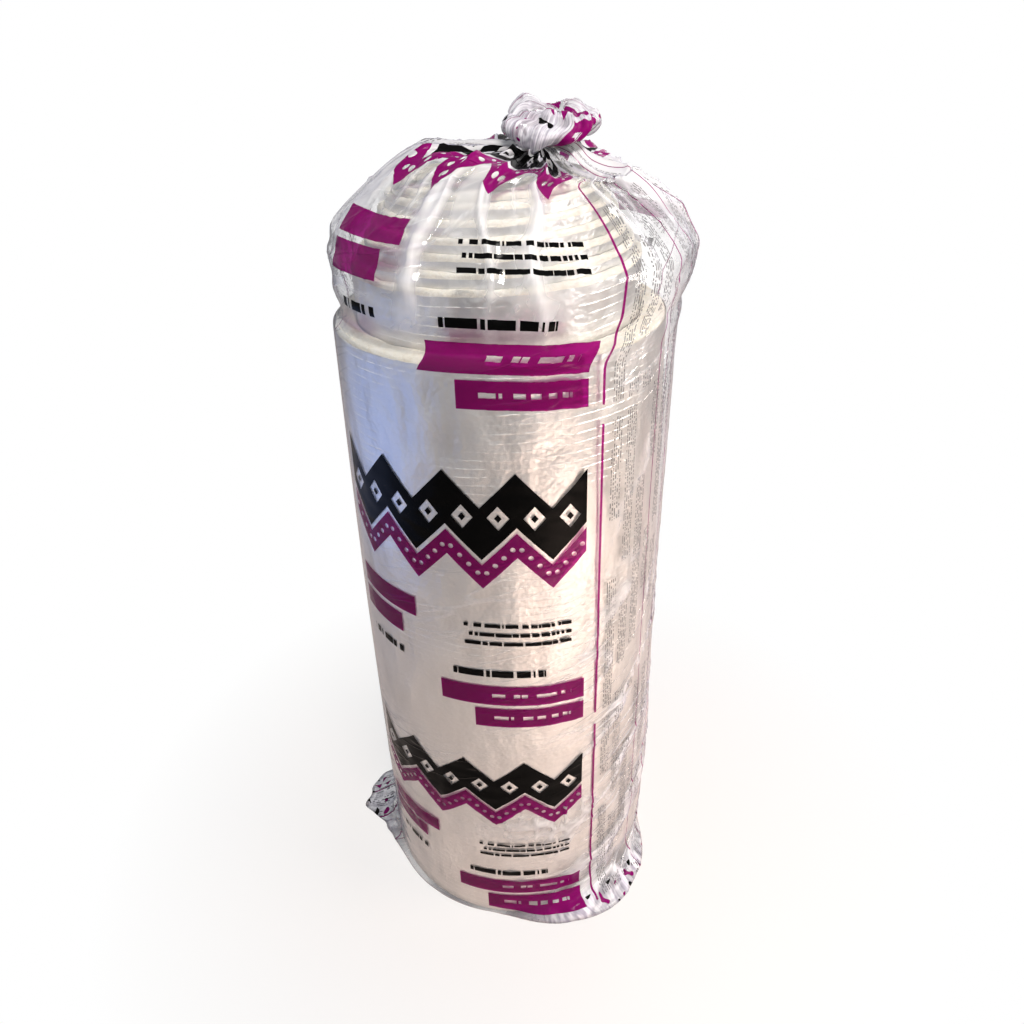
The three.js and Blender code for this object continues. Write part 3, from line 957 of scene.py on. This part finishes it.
def film_finish(roll, art):
    """Clear film: a thin gloss that shows what is behind it, with ink laid on it. It is milky where
    it lies in layers and at its edges, and its creases and sharp folds are painted white, as
    painted highlights. Where it lies in layers it is painted in grey and white streaks, as painted
    shade and highlights. Its finest creases are the lines along which a stretched noise passes
    through its middle value."""
    finish = Finish(bpy.data.materials.new("printed film"))
    uv, around, up = finish.lay()
    black, magenta = printed_marks(finish, around, up, roll, art)
    folded = finish.painted("folded")
    layered = finish.painted("layered")
    slanted = finish.stretched(uv, (4, 30, 1), turn=-0.35)
    creases = (finish.noise(slanted, 1, detail=1, roughness=0.45) - 0.5).peak(0.04)
    creases = creases * finish.painted("creased")
    crushed = finish.noise(finish.place(), 52, dimensions="3D")
    # Painted shade and highlights: grey and white streaks where the film lies in layers.
    shade_streaks = finish.noise(finish.stretched(uv, (110, 30, 1)), 1, detail=1, roughness=0.6)
    shade_streaks = ((shade_streaks - 0.36) * 3.2).held()
    soft = finish.noise(finish.stretched(uv, (1, 1.7, 1)), 24)
    relief = creases * 0.6 + soft + crushed * layered * 1.4
    relief = finish.bump(relief, distance=0.0018, strength=0.8)
    aslant = finish.number("LayerWeight", {"Blend": 0.5}, "Facing")
    black = black.either(crushed.over(0.74) * layered.over(0.6))
    magenta = magenta.either(crushed.under(0.26) * layered.over(0.6))
    # Milky cover: a little haze everywhere, more where the film lies in layers and at its edges,
    # and painted highlights along the creases and sharp folds.
    haze_and_painted_glints = 0.02 + 0.22 * creases + 0.58 * folded + 0.36 * layered + 0.42 * aslant**3
    painted_streak_colour = finish.mixed(shade_streaks, (0.40, 0.35, 0.45), (0.97, 0.92, 0.98))
    shade = finish.mixed(layered * 0.85, (0.93, 0.91, 0.92), painted_streak_colour)
    shade = finish.mixed(aslant**2 * (1 - 0.6 * layered), shade, (0.34, 0.32, 0.42))
    shade = finish.mixed(magenta, shade, tuple(art.accent))
    shade = finish.mixed(black, shade, tuple(art.ink))
    look = {"Base Color": shade, "Roughness": 0.14, "Normal": relief}
    solid = finish.node("BsdfPrincipled", {**look, "Specular IOR Level": 0.04})
    bare = finish.node("BsdfTransparent", {"Color": WHITE})
    inked = finish.node("BsdfTransparent", {"Color": (0.52, 0.015, 0.33)})
    gloss = finish.node("BsdfGlossy", {"Color": WHITE, "Roughness": 0.07, "Normal": relief})
    mirror = (0.04 + 0.96 * aslant**5) * (1 - 0.5 * magenta)
    pane = finish.blended(mirror, finish.blended(magenta, bare, inked), gloss)
    cover = (black.either(magenta * 0.55) + haze_and_painted_glints).held()
    return finish.shows(finish.blended(cover, pane, solid))


def floor_finish():
    """A pale floor that is white to the eye from a little way off, and keeps its soft shadow near
    the roll. What mirrors it sees part of that white."""
    finish = Finish(bpy.data.materials.new("pale floor"))
    away = finish.number("VectorMath", {0: finish.place()}, "Value", operation="LENGTH")
    white_share = 0.76 + 0.24 * ((away - 0.4) / 0.55).held()
    seen = finish.seen("Camera", "Transmission") * white_share
    mirrored = finish.seen("Glossy") * 0.12
    matt = finish.node("BsdfDiffuse", {"Color": (0.84, 0.67, 0.58)})
    white = finish.node("Emission", {"Color": WHITE, "Strength": 1.0})
    return finish.shows(finish.blended(seen.either(mirrored), matt, white))


# -------- the stage

FLOOR_REACH = 12.0
FLOOR_DROP = 0.0006
CAMERA_PLACE = (0.0, -1.319, 1.6286)
CAMERA_PITCH = math.radians(31.49)
CAMERA_ROLL = math.radians(-1.89)
CAMERA_YAW = math.radians(0.38)
FOCAL_PIXELS = 823.0
FRAME_PIXELS = 1024
SENSOR_MM = 36.0
WORLD_SHADE = (0.70, 0.85, 1.0)
WORLD_LIGHT = 0.27

# Each lamp's name, its place, what it aims at, its two sides, its watts, its spread in degrees and
# its colour.
LAMPS = (
    ("warm right", (2.4, -0.8, 1.6), (0.5, 0.0, 0.35), (1.2, 1.2), 57, 180, (1.0, 0.93, 0.86)),
    ("front floor", (1.25, -1.75, 1.0), (1.0, -1.45, 0.0), (0.7, 0.7), 19, 84, (1.0, 0.93, 0.88)),
    ("top front", (0.3, -1.3, 3.2), (0.1, 0.0, 1.0), (0.6, 0.6), 14, 90, (1.0, 0.96, 0.92)),
    ("cool left", (-1.25, -0.35, 0.58), (-0.2, -0.4, 1.1), (3.2, 0.6), 1.25, 90, (0.16, 0.37, 1.0)),
    ("back", (1.2, 2.4, 2.4), (0.0, 0.0, 1.1), (1.4, 1.4), 22, 180, (1.0, 0.98, 0.95)),
)


def placed(name, data, axes, place):
    """An object for the data, at a place, with its own axes along three directions."""
    thing = bpy.data.objects.new(name, data)
    thing.matrix_world = Matrix([*np.stack([*axes, place], axis=1).tolist(), (0, 0, 0, 1)])
    bpy.context.scene.collection.objects.link(thing)
    return thing


def make_camera():
    """The camera, with its right, up and backward directions from its yaw, pitch and roll."""
    level = np.array([math.cos(CAMERA_YAW), -math.sin(CAMERA_YAW), 0.0])
    forward = np.array([math.sin(CAMERA_YAW), math.cos(CAMERA_YAW), 0.0])
    ahead = forward * math.cos(CAMERA_PITCH) - np.array([0, 0, math.sin(CAMERA_PITCH)])
    upward = np.cross(level, ahead)
    right = math.cos(CAMERA_ROLL) * level + math.sin(CAMERA_ROLL) * upward
    up = -math.sin(CAMERA_ROLL) * level + math.cos(CAMERA_ROLL) * upward
    axes = (right, up, -ahead)
    camera = placed("camera", bpy.data.cameras.new("camera"), axes, CAMERA_PLACE)
    camera.data.sensor_width = SENSOR_MM
    camera.data.lens = FOCAL_PIXELS / FRAME_PIXELS * SENSOR_MM
    bpy.context.scene.camera = camera


def make_lamp(name, place, aim, sides, power, spread, shade):
    """A rectangular lamp whose local Z, the way it doesn't shine, points away from its aim."""
    back = np.subtract(place, aim)
    back /= np.linalg.norm(back)
    right = np.cross((0, 0, 1), back)
    right /= np.linalg.norm(right)
    axes = (right, np.cross(back, right), back)
    lamp = placed(name, bpy.data.lights.new(name, "AREA"), axes, place).data
    lamp.shape = "RECTANGLE"
    lamp.size, lamp.size_y = sides
    lamp.energy = power
    lamp.spread = math.radians(spread)
    lamp.color = shade


def make_world():
    """White to the eye and to what mirrors it, and a plain pale blue as a light."""
    finish = Finish(bpy.data.worlds.new("studio"))
    seen = finish.seen("Camera", "Transmission", "Glossy")
    light = finish.node("Background", {"Color": WORLD_SHADE, "Strength": WORLD_LIGHT})
    white = finish.node("Background", {"Color": WHITE, "Strength": 1.0})
    bpy.context.scene.world = finish.shows(finish.blended(seen, light, white), "OutputWorld")


# -------- operators


class MakeBlanket(bpy.types.Operator):
    """Winds the glass wool blanket, with its turns slid up in steps."""

    bl_idname = "insulation_roll.make_blanket"
    bl_label = "Blanket"

    def execute(self, context):
        piece = wound_blanket(context.scene.wrap_roll)
        piece.data.materials.append(wool_finish())
        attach(piece, "root")
        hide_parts("glass_wool_roll")
        return {"FINISHED"}


class MakeFacing(bpy.types.Operator):
    """Lays the foil facing on the outermost turn and on the turns inside it."""

    bl_idname = "insulation_roll.make_facing"
    bl_label = "Facing"

    def execute(self, context):
        roll = context.scene.wrap_roll
        foil = foil_finish()
        lap = roll.tail_lap
        turns = (-0.93 * lap, 1 - 0.96 * lap)
        outer = facing_sheet("foil_outer_turn", roll, turns, 0.0055, OUTER_LEVELS, roll.quilting)
        turns = (1 - lap, roll.inner_turns + 0.98)
        inner = facing_sheet("foil_inner_turns", roll, turns, 0.012, INNER_LEVELS, 0.0)
        for piece in (outer, inner):
            piece.data.materials.append(foil)
            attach(piece, "root")
            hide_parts("foil_facing")
        return {"FINISHED"}


class MakeBag(bpy.types.Operator):
    """Makes the printed film bag, with its ears, tent, knot and tuft."""

    bl_idname = "insulation_roll.make_bag"
    bl_label = "Bag"

    def execute(self, context):
        roll = context.scene.wrap_roll
        piece = bag_film(roll, context.scene.wrap_bag)
        piece.data.materials.append(film_finish(roll, context.scene.wrap_print))
        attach(piece, "root")
        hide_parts("film_bag")
        return {"FINISHED"}


class MakeStage(bpy.types.Operator):
    """Sets the floor, the lamps, the world and the camera."""

    bl_idname = "insulation_roll.make_stage"
    bl_label = "Stage"

    def execute(self, context):
        corners = FLOOR_REACH * np.array([[-1, -1, 0], [1, -1, 0], [1, 1, 0], [-1, 1, 0]])
        corners[:, 2] = -FLOOR_DROP
        floor = make_mesh("floor", corners, [[0, 1, 2, 3]])
        floor.data.materials.append(floor_finish())
        for lamp in LAMPS:
            make_lamp(*lamp)
        make_world()
        make_camera()
        context.scene.view_settings.view_transform = "Standard"
        cycles = context.scene.cycles
        cycles.max_bounces, cycles.diffuse_bounces, cycles.glossy_bounces = 4, 1, 2
        cycles.use_light_tree = False
        return {"FINISHED"}


class InsulationRollPanel(bpy.types.Panel):
    """Lists the pieces of the roll and their settings."""

    bl_idname = "VIEW3D_PT_insulation_roll"
    bl_label = "Insulation Roll"
    bl_space_type = "VIEW_3D"
    bl_region_type = "UI"
    bl_category = "Insulation Roll"

    def draw(self, context):
        for operator in OPERATORS:
            self.layout.operator(operator.bl_idname)
        for settings in SETTINGS:
            group = getattr(context.scene, settings)
            box = self.layout.box()
            for name in group.__annotations__:
                box.prop(group, name)


SETTINGS = {"wrap_roll": RollSettings, "wrap_bag": BagSettings, "wrap_print": PrintSettings}
OPERATORS = (MakeStage, MakeBlanket, MakeFacing, MakeBag)


def register():
    for group in (*SETTINGS.values(), *OPERATORS, InsulationRollPanel):
        bpy.utils.register_class(group)
    for name, group in SETTINGS.items():
        setattr(bpy.types.Scene, name, bpy.props.PointerProperty(type=group))


def unregister():
    for name in SETTINGS:
        delattr(bpy.types.Scene, name)
    for group in reversed((*SETTINGS.values(), *OPERATORS, InsulationRollPanel)):
        bpy.utils.unregister_class(group)


def main():
    register()
    bpy.ops.insulation_roll.make_stage()
    bpy.ops.insulation_roll.make_blanket()
    bpy.ops.insulation_roll.make_facing()
    bpy.ops.insulation_roll.make_bag()


if __name__ == "__main__":
    main()
